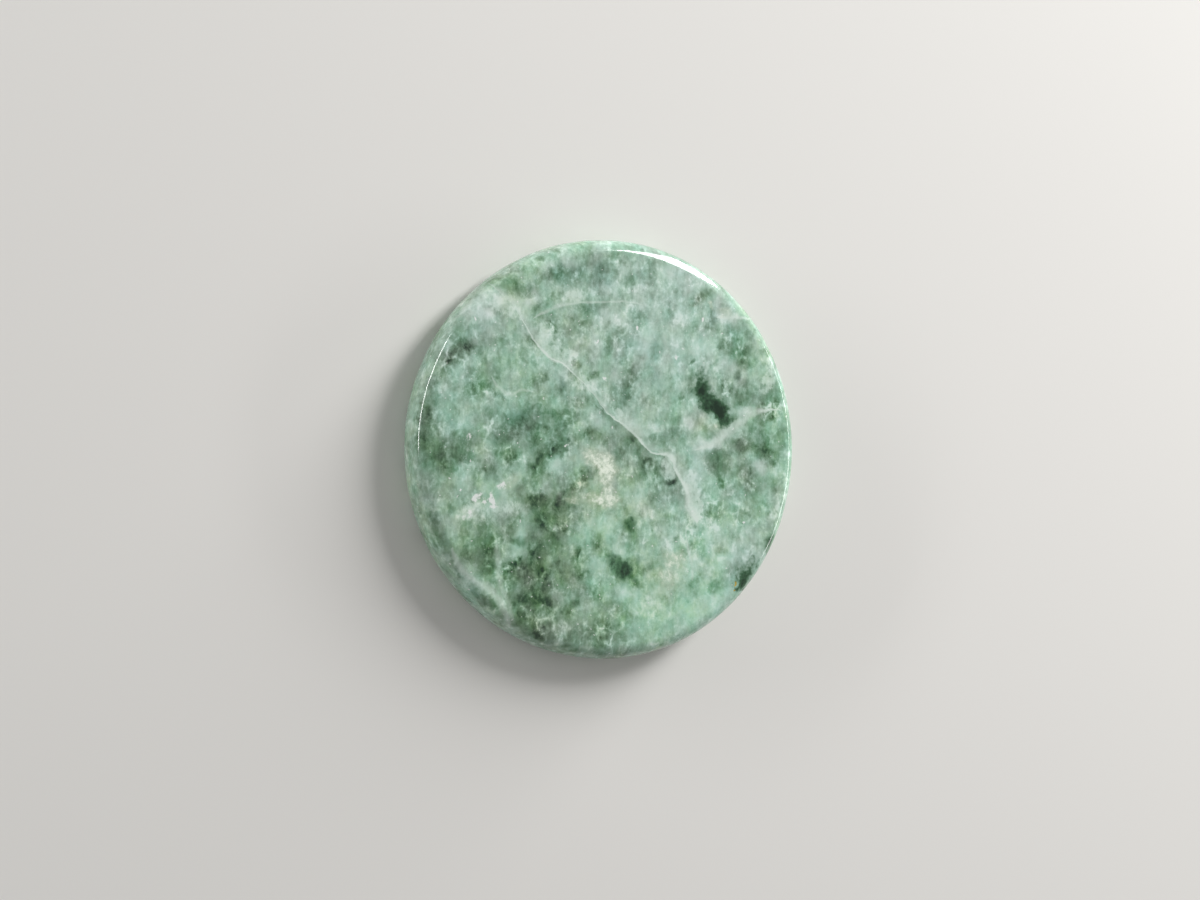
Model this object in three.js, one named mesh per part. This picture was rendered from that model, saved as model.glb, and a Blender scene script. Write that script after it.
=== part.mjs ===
// A polished disc of jadeite: one solid slab of stone with two flat faces, softly rounded
// edges and a rim that is a little fuller at mid height, lying on its back face.
// Millimetres, +Z up. The origin is the middle of the face that it lies on.
import * as THREE from "three";
import { mergeVertices } from "three/addons/utils/BufferGeometryUtils.js";

// Driving dimensions
const diameter = 50;
const thickness = 5.5;
const edgeRadius = 1.7; // the rounding between each face and the rim
const rimRadius = 6; // the slow curve of the rim itself, from one rounding to the other
const lobeHeight = 0.08; // a hand-ground outline is out of round by about this much
const lobeCount = 3;
const lobeAngle = THREE.MathUtils.degToRad(57); // where the first high spot is

// How finely the round stretches are stepped
const stepsRound = 120;
const stepsPerEdge = 9;
const stepsAcrossRim = 4;

// Half of the stone's height and width are what the curves of the section fill. An edge can't
// be rounder than the stone that it is cut from, and the rim is always flatter than an edge.
const halfHeight = thickness / 2;
const radius = diameter / 2;
const edge = Math.min(edgeRadius, halfHeight * 0.95, radius / 2);
const rim = Math.max(rimRadius, halfHeight * 1.05);

// The rim's arc has its centre on the mid plane. Each edge's arc touches it without a
// crease where both have the same slope, and that settles the edge's centre.
const rimCentre = radius - rim;
const meetingAngle = Math.asin((halfHeight - edge) / (rim - edge));
const edgeCentre = rimCentre + (rim - edge) * Math.cos(meetingAngle);

// Points on an arc in the plane of the section, both ends included. Angles are measured
// from straight outwards, upwards positive.
function arc(centreX, centreY, arcRadius, fromAngle, toAngle, steps) {
  const points = [];
  for (let i = 0; i <= steps; i++) {
    const angle = THREE.MathUtils.lerp(fromAngle, toAngle, i / steps);
    points.push(
      new THREE.Vector2(
        centreX + arcRadius * Math.cos(angle),
        centreY + arcRadius * Math.sin(angle),
      ),
    );
  }
  return points;
}

// Half of the section through the stone, from the axis below to the axis above: the back
// face, its edge, the rim, the upper edge and the upper face.
function section() {
  const quarter = Math.PI / 2;
  const lowerEdge = arc(edgeCentre, edge, edge, -quarter, -meetingAngle, stepsPerEdge);
  const upperEdge = arc(edgeCentre, thickness - edge, edge, meetingAngle, quarter, stepsPerEdge);
  const rimArc = arc(rimCentre, halfHeight, rim, -meetingAngle, meetingAngle, stepsAcrossRim);
  return [
    new THREE.Vector2(0, 0),
    ...lowerEdge,
    ...rimArc.slice(1, -1),
    ...upperEdge,
    new THREE.Vector2(0, thickness),
  ];
}

// Moves each point of the turned shape outwards by the hand-ground lobes. The move grows
// with the radius, so the middle stays where it is, and flat faces stay flat.
function grindByHand(geometry) {
  const position = geometry.getAttribute("position");
  for (let i = 0; i < position.count; i++) {
    const x = position.getX(i);
    const y = position.getY(i);
    const lobe = lobeHeight * Math.cos(lobeCount * (Math.atan2(y, x) - lobeAngle));
    const growth = 1 + lobe / radius;
    position.setXY(i, x * growth, y * growth);
  }
  return geometry;
}

function discGeometry() {
  const turned = new THREE.LatheGeometry(section(), stepsRound);
  turned.rotateX(Math.PI / 2); // a lathe turns about Y, and the disc's axis is Z
  turned.deleteAttribute("normal");
  turned.deleteAttribute("uv");
  const closed = mergeVertices(grindByHand(turned), 1e-4);
  closed.computeVertexNormals();
  return closed;
}

const polishedJadeite = new THREE.MeshStandardMaterial({
  name: "polished jadeite",
  color: "#91ad99",
  roughness: 0.15,
  metalness: 0,
});

const disc = new THREE.Mesh(discGeometry(), polishedJadeite);
disc.name = "jadeite_disc";

const part = new THREE.Group();
part.add(disc);

export default part;
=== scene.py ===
# %% [markdown]
# # A polished disc of jadeite
#
# This lesson dresses one small stone: a round slab of jadeite, 50 mm across and 5.5 mm thick,
# cut from a mottled green block, ground round by hand and polished until it mirrors a lamp.
# It has one piece, so nearly all the work is in the stone itself: the shape of its rounded
# edge, which carries the highlights, and a pattern that runs through the stone as real jade's
# does, so that the faces and the rim belong together.
#
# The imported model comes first. It is the frame that everything else is measured from.

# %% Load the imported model
import math

import bpy
import numpy as np
from mathutils import Matrix, Vector


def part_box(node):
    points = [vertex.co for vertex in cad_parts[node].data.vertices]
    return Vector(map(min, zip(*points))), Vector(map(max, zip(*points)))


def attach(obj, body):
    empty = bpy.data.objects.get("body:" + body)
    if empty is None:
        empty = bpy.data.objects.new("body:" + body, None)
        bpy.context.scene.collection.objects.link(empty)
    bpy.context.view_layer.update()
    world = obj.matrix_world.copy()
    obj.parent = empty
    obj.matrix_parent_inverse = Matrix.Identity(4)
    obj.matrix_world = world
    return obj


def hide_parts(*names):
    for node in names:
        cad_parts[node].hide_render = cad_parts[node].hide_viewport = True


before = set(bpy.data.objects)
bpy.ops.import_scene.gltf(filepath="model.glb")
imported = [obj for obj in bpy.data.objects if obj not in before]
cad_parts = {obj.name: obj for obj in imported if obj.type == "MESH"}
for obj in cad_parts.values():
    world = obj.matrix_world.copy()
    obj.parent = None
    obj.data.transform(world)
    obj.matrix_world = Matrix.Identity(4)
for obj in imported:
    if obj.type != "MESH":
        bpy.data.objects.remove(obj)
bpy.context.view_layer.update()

NODE = "jadeite_disc"
MM = 0.001  # one millimetre in Blender's metres

lowest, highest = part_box(NODE)
thickness = (highest.z - lowest.z) / MM
radius = (highest.x - lowest.x) / 2 / MM
print(f"the stone is {2 * radius:.2f} mm across and {thickness:.2f} mm thick")

# %% [markdown]
# ## The section of the stone
#
# A slab like this is sawn from the block, trimmed round, and its edges are eased on a wheel, so
# its section is three arcs between two flats. It could be a cylinder with a Bevel modifier, but
# a bevel knows nothing of the rim's slow curve. Here half of the section is written out instead,
# as radius and height at each ring of the mesh, from the middle of the face over the edge to the
# middle of the rim. The other half mirrors it.

# %% The section, from the face's middle to half way down the rim
EDGE_RADIUS = 1.7  # mm, the rounding between a face and the rim
RIM_RADIUS = 6.0  # mm, the slow curve of the rim
FACE_RINGS = 62
EDGE_RINGS = 30
RIM_RINGS = 12
CROWDING = 0.35  # how much wider the cells in the middle of the face are than the usual ones


def arc(centre, size, start, end, steps):
    """Points on a circle: the centre plus size times (cosine, sine) of an angle that runs from
    start to end in even steps. The start itself is left out, as the ring before it has it."""
    angle = np.linspace(start, end, steps + 1)[1:]
    return centre[0] + size * np.cos(angle), centre[1] + size * np.sin(angle)


def half_section():
    """Radius and height at each ring. The face is a straight line whose rings draw closer
    together towards the edge, and the edge's arc meets the rim's arc where both slope alike."""
    half_height = thickness / 2
    rim_centre = radius - RIM_RADIUS
    meeting = math.asin((half_height - EDGE_RADIUS) / (RIM_RADIUS - EDGE_RADIUS))
    edge_centre = rim_centre + (RIM_RADIUS - EDGE_RADIUS) * math.cos(meeting)
    along = np.linspace(0, 1, FACE_RINGS + 1)
    face_radius = edge_centre * along * (1 + CROWDING - CROWDING * along)
    face_height = np.full(FACE_RINGS + 1, thickness)
    edge = arc((edge_centre, thickness - EDGE_RADIUS), EDGE_RADIUS, math.pi / 2, meeting, EDGE_RINGS)
    rim = arc((rim_centre, half_height), RIM_RADIUS, meeting, 0, RIM_RINGS)
    return (
        np.concatenate([face_radius, edge[0], rim[0]]),
        np.concatenate([face_height, edge[1], rim[1]]),
    )


ring_radius, ring_height = half_section()
rings = len(ring_radius) - 1
print(f"{rings} rings, the flat face ends {ring_radius[FACE_RINGS]:.2f} mm from the middle")

# %% [markdown]
# ## The surface
#
# A turned profile crowds its cells at the middle and leaves a pole there. A square grid that is
# bent into a disc has no pole: every square ring of cells becomes a round ring, and all cells
# stay nearly the same size. Two such grids, one for each side, share the points of the rim's
# middle line, so the stone closes without a seam.
#
# The outline isn't a perfect circle. A stone held to the wheel by hand comes out with a few slow
# lobes, and its edge has fainter waves between them. They are too small to see as a shape, but
# they bend the highlight on the edge, and that is what tells a ground stone from a turned one.

# %% A square grid bent into a disc
LOBE_HEIGHT = 0.08  # mm, the outline's slow lobes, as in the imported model
LOBE_COUNT = 3
LOBE_ANGLE = math.radians(57)
WAVES = ((11, 0.010, 0.4), (17, 0.007, 2.1), (29, 0.004, 1.0))  # count, height in mm, phase


def bent_square():
    """Ring number and angle at each point of a square grid. The ring is the larger of the two
    distances from the middle, and the angle is an eighth of a turn times the smaller over the
    larger, counted from the side of the square that the point faces."""
    steps = np.arange(-rings, rings + 1)
    across, up = np.meshgrid(steps, steps)
    sideways = np.abs(across) >= np.abs(up)
    longer = np.where(sideways, across, up)
    shorter = np.where(sideways, up, across)
    share = math.pi / 4 * shorter / np.where(longer == 0, 1, longer)
    angle = np.where(sideways, share, math.pi / 2 - share) + math.pi * (longer < 0)
    return np.abs(longer), angle


def ground_by_hand(angle, ring):
    """How much further out a point lies than on a true circle, as a factor: one plus the slow
    lobes, and on the edge and rim a few faint waves, over the radius."""
    lobes = LOBE_HEIGHT * np.cos(LOBE_COUNT * (angle - LOBE_ANGLE))
    waves = sum(height * np.sin(count * angle + phase) for count, height, phase in WAVES)
    on_the_edge = np.clip((ring - FACE_RINGS) / EDGE_RINGS, 0, 1)
    return 1 + (lobes + waves * on_the_edge) / radius


def disc_mesh(name):
    """The stone's skin: one bent square for the front, one for the back, joined at the rim."""
    ring, angle = bent_square()
    out = ring_radius[ring] * ground_by_hand(angle, ring)
    x, y, z = out * np.cos(angle), out * np.sin(angle), ring_height[ring]
    front = np.stack([x, y, z], axis=-1).reshape(-1, 3)
    back = np.stack([x, y, thickness - z], axis=-1).reshape(-1, 3)

    front_index = np.arange(ring.size).reshape(ring.shape)
    inside = ring < rings
    back_index = front_index.copy()
    back_index[inside] = ring.size + np.arange(np.count_nonzero(inside))
    points = np.concatenate([front, back[inside.ravel()]]) * MM

    def cells(index):
        """The four corners of each cell, counterclockwise."""
        corners = (index[:-1, :-1], index[:-1, 1:], index[1:, 1:], index[1:, :-1])
        return np.stack(corners, axis=-1).reshape(-1, 4)

    faces = np.concatenate([cells(front_index), cells(back_index)[:, ::-1]])
    mesh = bpy.data.meshes.new(name)
    mesh.from_pydata(points.tolist(), [], faces.tolist())
    mesh.shade_smooth()
    return mesh


disc = bpy.data.objects.new("polished_disc", disc_mesh("polished_disc"))
bpy.context.scene.collection.objects.link(disc)
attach(disc, "root")
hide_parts(NODE)
print(f"{len(disc.data.vertices)} points and {2 * len(disc.data.polygons)} triangles")

# %% [markdown]
# ## A node at a time
#
# Materials in Blender are graphs. This lesson writes them with one helper that adds a node,
# types in its plain values and links the rest, and hands back the node's output, so a graph
# reads like a sum. Colours are written as on a screen, and turned to the linear values that
# the renderer works in.

# %% Helpers for materials


def linear(hex_colour):
    """An sRGB colour such as "#91ad99" as the renderer's linear red, green, blue and alpha."""
    channels = np.array([int(hex_colour[i : i + 2], 16) for i in (1, 3, 5)]) / 255
    curve = np.where(channels <= 0.04045, channels / 12.92, ((channels + 0.055) / 1.055) ** 2.4)
    return (*curve.tolist(), 1.0)


class Graph:
    """The node tree of one material, emptied."""

    def __init__(self, material):
        material.use_nodes = True
        self.tree = material.node_tree
        self.tree.nodes.clear()

    def add(self, kind, inputs, output=0, **settings):
        """One node: settings first, then its sockets by name or number, typed in or linked."""
        node = self.tree.nodes.new(kind)
        for name, value in settings.items():
            setattr(node, name, value)
        for socket, value in inputs.items():
            if isinstance(value, bpy.types.NodeSocket):
                self.tree.links.new(value, node.inputs[socket])
            else:
                node.inputs[socket].default_value = value
        return node.outputs[output] if node.outputs else None


# Jadeite, ground on wheels and polished with fine paste: the eye gets a glassy skin over a
# soft, cloudy green that goes on inside.
jade = bpy.data.materials.new("jadeite, ground and polished")
g = Graph(jade)

# %% [markdown]
# ## Coordinates that wander
#
# Jadeite is a felt of tiny pyroxene crystals, grown and squeezed deep in the crust, so nothing
# in it has a ruled edge. The pattern therefore reads the stone's own coordinates in millimetres
# after they have been pushed about by noise, once in slow bends and once in short ones. A soft
# oval placed in such coordinates comes out as a cloud with lobes and tongues, and since the
# noise is solid, the same cloud shows on the face and, cut through, on the rim.
#
# Veins are cracks that healed, and a crack runs straighter than a cloud's edge, so they get
# coordinates of their own that only waver.

# %% Millimetres, bent by noise
SLOW_BEND = (6.0, 0.8)  # mm: size of the bends, and how far a point is pushed
SHORT_BEND = (1.3, 0.6)
WAVER = (2.2, 0.35)


def push(point, size, distance):
    """The point plus distance times a noise vector that runs from -1 to 1."""
    noise_vector = g.add(
        "ShaderNodeTexNoise",
        {"Vector": point, "Scale": 1 / size, "Detail": 4.0, "Roughness": 0.6},
        output=1,
    )
    centred = g.add(
        "ShaderNodeVectorMath", {0: noise_vector, 1: (0.5, 0.5, 0.5)}, operation="SUBTRACT"
    )
    return g.add(
        "ShaderNodeVectorMath",
        {0: centred, 1: (2 * distance,) * 3, 2: point},
        operation="MULTIPLY_ADD",
    )


stone = g.add(
    "ShaderNodeVectorMath",
    {0: g.add("ShaderNodeTexCoord", {}, output="Object"), "Scale": 1 / MM},
    operation="SCALE",
)
bent = push(push(stone, *SLOW_BEND), *SHORT_BEND)
wavering = push(stone, *WAVER)

# %% [markdown]
# ## Named clouds
#
# The big patches of this stone are where they are, so each has an entry of its own: its middle
# on the face in millimetres from the disc's centre, its size, its lean, and how much it darkens
# or lightens the stone, in hundredths of the lightness scale. The size is the half width. A
# round cloud is as long as it is wide, and one with a lean is twice as long, in that direction
# in degrees from +X. Every cloud is centred on the face and about as deep as it is wide.
#
# The clouds come in families. A family says what a hundredth of its darkening or lightening
# does to the other traits of the stone: how warm its green is, how rich, and how speckled.
# Broad clouds are wide and hardly do more than darken or lighten. Lush and cool ones leave the
# lightness alone: a hundredth of theirs makes the green richer or bluer, and a negative one
# makes it greyer or warmer. Three of the grey veils are painted glare: they make the stone paler
# along the upper right rim, where the highlight on the edge spreads.

# %% Where the stone is darker and paler
FAMILIES = {
    "deep green": {"lightness": 1.45, "warmth": 0.0, "richness": -0.3, "speckle": -5.0},
    "olive": {"lightness": 1.45, "warmth": -3.0, "richness": 0.8, "speckle": -7.0},
    "bluish": {"lightness": 1.45, "warmth": 4.0, "richness": 0.6, "speckle": -4.0},
    "smooth mint": {"lightness": 1.4, "warmth": -3.0, "richness": 0.5, "speckle": -8.0},
    "grey veil and glare": {"lightness": 1.3, "warmth": 1.0, "richness": -3.0, "speckle": -4.0},
    "broad": {"lightness": 1.2, "warmth": 0.0, "richness": 0.0, "speckle": -1.0},
    "lush": {"lightness": 0.0, "warmth": 0.0, "richness": 1.0, "speckle": 0.0},
    "cool": {"lightness": 0.0, "warmth": -1.0, "richness": -0.2, "speckle": 0.0},
}

ROUND = None
CLOUDS = {
    "broad": {
        "lower left": (-9.8, -9.9, 6.0, ROUND, -9),
        "left edge": (-22.7, -8.9, 4.0, 120, -4),
        "bottom left": (-9.5, -20.0, 3.0, 150, -12),
        "bottom": (0.4, -21.2, 2.6, 90, -12),
        "upper right": (7.6, 13.5, 5.5, ROUND, 4),
        "lower right": (12.1, -12.4, 5.5, ROUND, 7),
        "top": (2.7, 20.4, 2.0, 0, 6),
        "left of the middle": (-6.0, -3.5, 3.5, 30, -2),
        "bottom, left": (-5.0, -21.8, 2.0, 0, -6),
        "low middle": (3.5, -17.2, 1.6, 0, 5),
    },
    "lush": {
        "bottom": (4.0, -14.5, 6.5, ROUND, 16),
        "lower right, inner": (12.5, -15.5, 3.0, 120, 16),
        "bottom, right": (6.0, -20.5, 3.0, 0, 16),
        "pool": (-2.0, -11.5, 3.0, 90, 12),
        "lower left": (-17.5, -13.0, 4.0, 120, 2),
        "great cloud": (-9.0, 3.8, 2.5, 0, 16),
        "under the great cloud": (-11.0, -2.0, 2.0, 0, 12),
        "right edge": (22.0, 1.0, 3.5, 90, 20),
        "lower right": (14.0, -6.5, 2.5, 60, 20),
        "upper right": (17.5, 12.5, 2.0, 120, 16),
        "right of the middle": (6.5, 4.5, 2.5, ROUND, 14),
        "left": (-18.0, 5.5, 3.5, 60, 12),
        "brown, upper": (-8.5, -7.5, 3.0, 0, -12),
        "brown, lower": (-9.0, -15.5, 3.0, ROUND, -10),
        "left edge, low": (-19.5, -10.5, 3.0, 120, -8),
        "right edge, low": (18.2, -8.4, 2.0, 60, 20),
        "left, high": (-10.5, 5.9, 1.4, ROUND, 12),
        "lower right, low": (13.2, -13.4, 1.6, ROUND, 12),
        "upper left edge": (-16.6, 13.7, 2.2, 60, -16),
        "top right, grey": (14.8, 15.9, 1.5, ROUND, -14),
        "above the fleck, grey": (6.5, 11.8, 1.8, 150, -10),
        "beside the fleck, grey": (11.8, 4.9, 1.4, 60, -24),
        "bottom, grey": (-4.6, -21.4, 1.6, 0, -18),
        "left edge, grey": (-19.6, 1.8, 1.3, 60, -10),
        "low fleck": (2.4, -14.8, 1.4, ROUND, 22),
        "column, grey": (-13.7, -4.6, 1.6, ROUND, -20),
        "right, grey": (15.7, -5.3, 1.1, ROUND, -24),
        "bottom left, grey": (-7.3, -18.2, 1.8, ROUND, -15),
        "left, middle, grey": (-13.2, 4.6, 1.1, ROUND, -4),
        "centre left, grey": (-6.3, 7.9, 1.3, ROUND, -12),
        "above the vein, grey": (-2.0, 11.4, 1.2, ROUND, -12),
        "top, grey": (5.2, 15.4, 1.6, ROUND, -12),
        "above the middle, grey": (5.5, 7.6, 1.2, ROUND, -12),
        "above the fleck, low, grey": (8.6, 10.1, 1.1, ROUND, -12),
        "by the patch, grey": (-12.1, -12.0, 1.0, ROUND, -14),
        "under the bend, grey": (11.5, -10.0, 1.1, ROUND, -12),
        "under the fleck": (13.0, 2.4, 1.4, 30, 14),
        "lower left bands": (-14.5, -15.4, 1.5, 90, 14),
        "by the cream": (-5.4, -5.3, 1.3, ROUND, 14),
        "cream, grey": (-1.1, -3.6, 1.8, 90, -14),
        "bottom rim, grey": (-10.8, -20.6, 1.8, 150, -16),
        "low, grey": (3.2, -11.4, 1.1, ROUND, -10),
        "right of the vein, high": (6.6, 1.2, 1.2, 0, 10),
        "green corner": (-13.2, 18.8, 1.3, 150, 16),
        "bottom, far right": (10.6, -18.5, 2.2, 30, 12),
    },
    "cool": {
        "top": (6.5, 16.0, 8.0, ROUND, 44),
        "top left": (-4.4, 20.2, 2.2, 0, 58),
        "upper left edge": (-18.4, 11.6, 2.0, 60, 56),
        "middle": (4.0, 2.0, 3.5, ROUND, 26),
        "left": (-16.0, 3.5, 2.5, 60, 35),
        "right": (12.5, -1.3, 2.5, 60, 42),
        "right, upper": (17.0, 6.6, 2.5, ROUND, 42),
        "right edge": (20.5, -3.5, 2.5, 90, 22),
        "lower left, warm": (-19.2, -8.6, 2.3, 120, -34),
        "bottom, warm": (2.2, -8.0, 2.6, 0, -42),
        "bottom rim, warm": (-8.2, -19.6, 2.6, 0, -40),
        "great cloud, warm": (-6.5, 4.0, 1.6, 0, -25),
        "right, grey": (16.5, -4.5, 2.0, 30, 35),
        "lower left, brown": (-7.5, -14.0, 2.6, ROUND, -42),
        "great cloud": (-11.8, 2.9, 1.8, 30, 62),
        "left, warm": (-13.2, 9.0, 2.5, 30, -22),
        "lower left, inner, warm": (-14.8, -14.4, 2.1, 90, -42),
        "brown, warm": (-7.2, -7.4, 2.2, 0, -20),
        "top, low": (9.0, 9.5, 3.0, ROUND, 15),
        "top, middle": (2.0, 20.8, 1.7, 0, 25),
        "left edge": (-21.6, 4.4, 1.6, 90, 40),
        "top right": (15.2, 13.6, 1.5, 90, 25),
        "beside the fleck": (11.8, 6.4, 1.5, ROUND, 42),
        "by the vein": (-2.4, 3.4, 1.5, 0, 24),
        "rim fleck": (16.8, -14.8, 1.8, 60, 46),
        "bottom rim": (-4.2, -21.8, 1.5, 0, 35),
        "lower right, inner": (7.6, -13.9, 1.4, 120, 22),
        "nest, warm": (-13.6, -5.0, 1.9, 0, -50),
        "left, low, warm": (-16.9, 0.9, 1.4, 90, -40),
        "lower right, warm": (10.8, -11.8, 1.5, ROUND, -28),
        "right edge, warm": (18.2, -6.8, 1.8, 30, -24),
        "bottom right, warm": (13.6, -16.8, 1.8, 30, -18),
        "bottom, right, warm": (6.8, -19.0, 1.6, 0, -16),
        "above, warm": (-0.7, 13.6, 1.6, ROUND, -32),
        "bottom, left, warm": (-1.4, -20.6, 2.0, 0, -36),
        "low fleck, warm": (3.4, -14.6, 1.5, 0, -36),
        "lower right, cool": (15.2, -4.6, 1.4, 90, 22),
        "under the great cloud": (-9.0, -0.3, 1.4, 0, 26),
        "left, high": (-18.0, 7.0, 1.6, ROUND, 28),
        "above the middle": (0.8, 7.8, 1.3, 90, 26),
        "lower, cool": (7.0, -10.5, 1.5, ROUND, 20),
        "bottom, cool": (5.4, -21.6, 1.3, 0, 20),
        "left, upper, warm": (-9.5, 11.0, 1.5, 30, -22),
        "right of the top, warm": (8.5, 13.6, 1.4, 90, -20),
        "under the fleck, warm": (11.5, 2.4, 1.3, ROUND, -28),
        "right of the vein, warm": (12.5, -3.6, 1.0, 90, -20),
        "middle, warm": (1.6, -3.6, 1.5, 90, -28),
        "pool, warm": (-2.6, -12.2, 2.2, 90, -26),
        "right rim, warm": (21.4, -1.0, 1.6, 90, -8),
        "upper left, warm": (-11.6, 17.0, 1.8, 0, -22),
        "lens": (7.4, -5.0, 1.6, 90, 26),
        "right rim, cool": (20.2, 4.4, 1.4, 90, 26),
        "above right, warm": (3.4, 13.4, 1.8, 0, -16),
    },
    "deep green": {
        "right of the great cloud": (-6.6, 0.4, 1.2, 30, -8),
        "beside the cream": (1.6, -0.4, 1.5, 150, -4),
        "bottom left": (-10.8, -20.6, 1.2, 150, -5),
        "band over the middle": (-8.8, -0.1, 1.2, 0, -7),
        "great cloud, core": (-9.8, 2.2, 0.9, 60, -8),
        "left edge, lower": (-21.3, -1.0, 1.6, 60, -7),
        "diagonal, upper end": (-18.8, 12.2, 0.9, 150, -6),
        "upper left, small": (-14.9, 12.4, 1.1, ROUND, -7),
        "beside the vein": (-10.5, 12.6, 0.5, 150, -11),
        "left middle": (-17.4, 7.0, 1.0, 30, -15),
        "left middle, upper": (-15.1, 8.6, 1.0, ROUND, -6),
        "centre left": (-10.0, 8.0, 0.9, 30, -10),
        "in the ring": (-16.6, -2.5, 0.7, 30, -3),
        "short diagonal": (-13.4, -1.4, 0.9, 150, -9),
        "below the great cloud": (-9.6, -2.3, 1.3, ROUND, -13),
        "lower cluster, top": (-8.8, -8.7, 1.1, ROUND, -15),
        "lower cluster, neck": (-7.8, -10.3, 0.9, 120, -8),
        "lower cluster, core": (-10.0, -12.3, 0.9, 90, -12),
        "lower cluster, heart": (-8.8, -13.8, 0.8, ROUND, -8),
        "lower cluster, foot": (-11.2, -17.9, 0.9, 0, -10),
        "lower cluster, heel": (-8.7, -18.2, 0.7, ROUND, -10),
        "bead, upper": (-12.6, -8.6, 0.5, 30, -5),
        "bead, upper left": (-13.5, -9.3, 0.35, 30, -6),
        "bead, middle": (-12.2, -10.6, 0.5, 0, -14),
        "bead, lower": (-12.3, -12.6, 0.4, ROUND, -14),
        "bead, lowest": (-13.3, -13.6, 0.8, 30, -14),
        "oval spot": (-4.6, -12.3, 0.5, 90, -17),
        "dash": (-3.8, -14.9, 0.4, 30, -9),
        "spot by the middle": (4.3, -1.8, 0.8, ROUND, -8),
        "streak by the middle": (5.9, -2.8, 0.8, 90, -14),
        "right of the vein": (13.9, -1.7, 1.4, ROUND, -5),
        "right of the vein, tail": (14.4, -4.2, 0.5, 120, -8),
        "lower right": (13.1, -7.5, 0.9, 0, -5),
        "lower spot": (2.3, -9.1, 0.8, ROUND, -14),
        "lower spot, skirt": (1.8, -10.1, 1.6, ROUND, -5),
        "dark spot, skirt": (1.2, -14.3, 1.4, 150, -9),
        "dark spot, right": (2.9, -15.5, 0.6, 150, -14),
        "dark spot, satellite": (4.4, -14.3, 0.6, 30, -12),
        "bottom right": (13.5, -16.7, 0.8, ROUND, -11),
        "bottom right, left": (10.4, -16.2, 0.5, 30, -8),
        "right, high": (16.9, 12.3, 1.9, ROUND, -7),
        "right, high left": (14.7, 12.6, 0.5, 30, -9),
        "right, by the band": (17.7, 6.6, 1.0, 30, -10),
        "above the middle": (-0.0, 12.9, 0.9, 60, -14),
        "fine streak": (10.4, 10.3, 0.3, 60, -17),
        "small green dash": (8.7, 6.3, 0.35, 60, -12),
        "top, right": (3.9, 21.2, 1.3, 30, -9),
        "low middle": (-1.7, -18.0, 0.5, 90, -8),
        "low left of middle": (-5.1, -18.5, 0.5, 60, -9),
        "bottom, far": (-1.8, -21.9, 1.4, 0, -8),
        "middle, small dark": (-3.3, 2.0, 0.55, 30, -12),
        "speck by the vein": (-2.2, 8.7, 0.4, 30, -20),
        "dark streak over the vein": (-8.0, 14.5, 0.45, 120, -20),
        "great cloud, left end": (-13.0, 1.4, 1.4, 30, -9),
        "upper right dash": (14.5, 12.6, 0.6, 30, -6),
        "upper right, mid": (16.3, 12.4, 1.2, 120, -6),
        "lower right, spot": (12.9, -7.3, 1.0, 0, -4),
        "lower cluster, low": (-9.2, -15.0, 1.2, ROUND, -16),
        "left of the foot": (-12.3, -18.7, 1.2, 120, -5),
        "right of the fleck": (14.9, 7.4, 1.0, 90, -11),
        "under the bend": (10.8, -10.9, 1.0, 60, -6),
        "top, left of the middle": (-5.6, 20.2, 1.3, 0, -8),
        "upper left, by the arc": (-10.2, 15.2, 1.0, 30, -6),
        "right, by the streaks": (16.8, -7.4, 1.0, ROUND, -6),
        "left rim, middle": (-23.2, 1.0, 1.8, 90, -14),
        "beside the column": (-11.4, -3.3, 1.2, 120, -4),
        "top middle": (-0.3, 21.8, 1.2, 90, -7),
        "great cloud, right side": (-7.0, 2.6, 1.2, 60, -7),
        "over the great cloud": (-8.4, 6.3, 0.9, 0, -7),
        "around the streak": (-8.2, 15.0, 1.1, ROUND, -4),
        "upper right, faint": (11.6, 14.3, 1.4, 0, -6),
        "beside the branch": (15.3, 3.3, 0.8, 30, -6),
        "left, low in the mint": (-16.9, 2.1, 1.2, 60, -6),
        "by the short diagonal": (-12.7, -0.8, 1.0, ROUND, -9),
        "between the bands": (-15.1, -11.0, 0.8, 90, -9),
        "right of the bands": (-13.6, -15.3, 1.0, 90, -6),
        "right of the hanging thread": (9.8, -12.0, 0.9, 0, -6),
        "below the right": (16.8, -2.2, 0.8, 30, -5),
        "low left patch, foot": (-15.7, -12.4, 1.2, 90, -7),
        "low left patch, wing": (-18.9, -12.5, 0.8, ROUND, -4),
        "above the pool, spot": (-0.5, -11.1, 0.7, ROUND, -9),
        "left of the pool": (-4.5, -13.4, 1.0, ROUND, -5),
        "low left, below the patch": (-16.2, -15.1, 0.9, 150, -5),
        "bottom left, lower": (-10.2, -19.6, 1.3, 150, -6),
        "in the nest": (-16.4, -5.4, 0.9, 0, -4),
        "bottom left, inner": (-7.6, -18.8, 1.2, 0, -5),
        "by the hanging thread": (9.6, -8.8, 0.9, 90, -4),
        "beside the rim fleck": (14.9, -15.5, 1.0, 60, -5),
    },
    "olive": {
        "upper left, wide": (-12.6, 19.3, 1.8, 150, -4),
        "diagonal, lower end": (-19.9, 11.0, 1.1, 30, -9),
        "left, under the diagonal": (-21.1, 9.9, 0.8, 60, -8),
        "left rim": (-23.9, 4.2, 0.9, 90, -9),
        "spot in the vein": (-4.8, 10.1, 0.7, ROUND, -20),
        "small, centre left": (-4.0, 5.5, 0.7, 0, -11),
        "below the arc": (-4.8, 14.6, 1.2, 30, -4),
        "brown band": (-10.2, -6.1, 0.9, 0, -9),
        "brown, right": (-6.2, -6.7, 1.6, 90, -10),
        "dark band": (-4.6, -4.4, 0.7, 30, -16),
        "dark band, above": (-3.4, -2.8, 0.9, 30, -7),
        "lower cluster, right": (-6.7, -14.9, 1.1, 90, -7),
        "right of the lower cluster": (-4.0, -16.1, 1.1, 120, -9),
        "above the pool": (-1.8, -11.8, 0.9, 120, -8),
        "lower cluster, brown": (-11.6, -14.9, 1.6, ROUND, -11),
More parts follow.
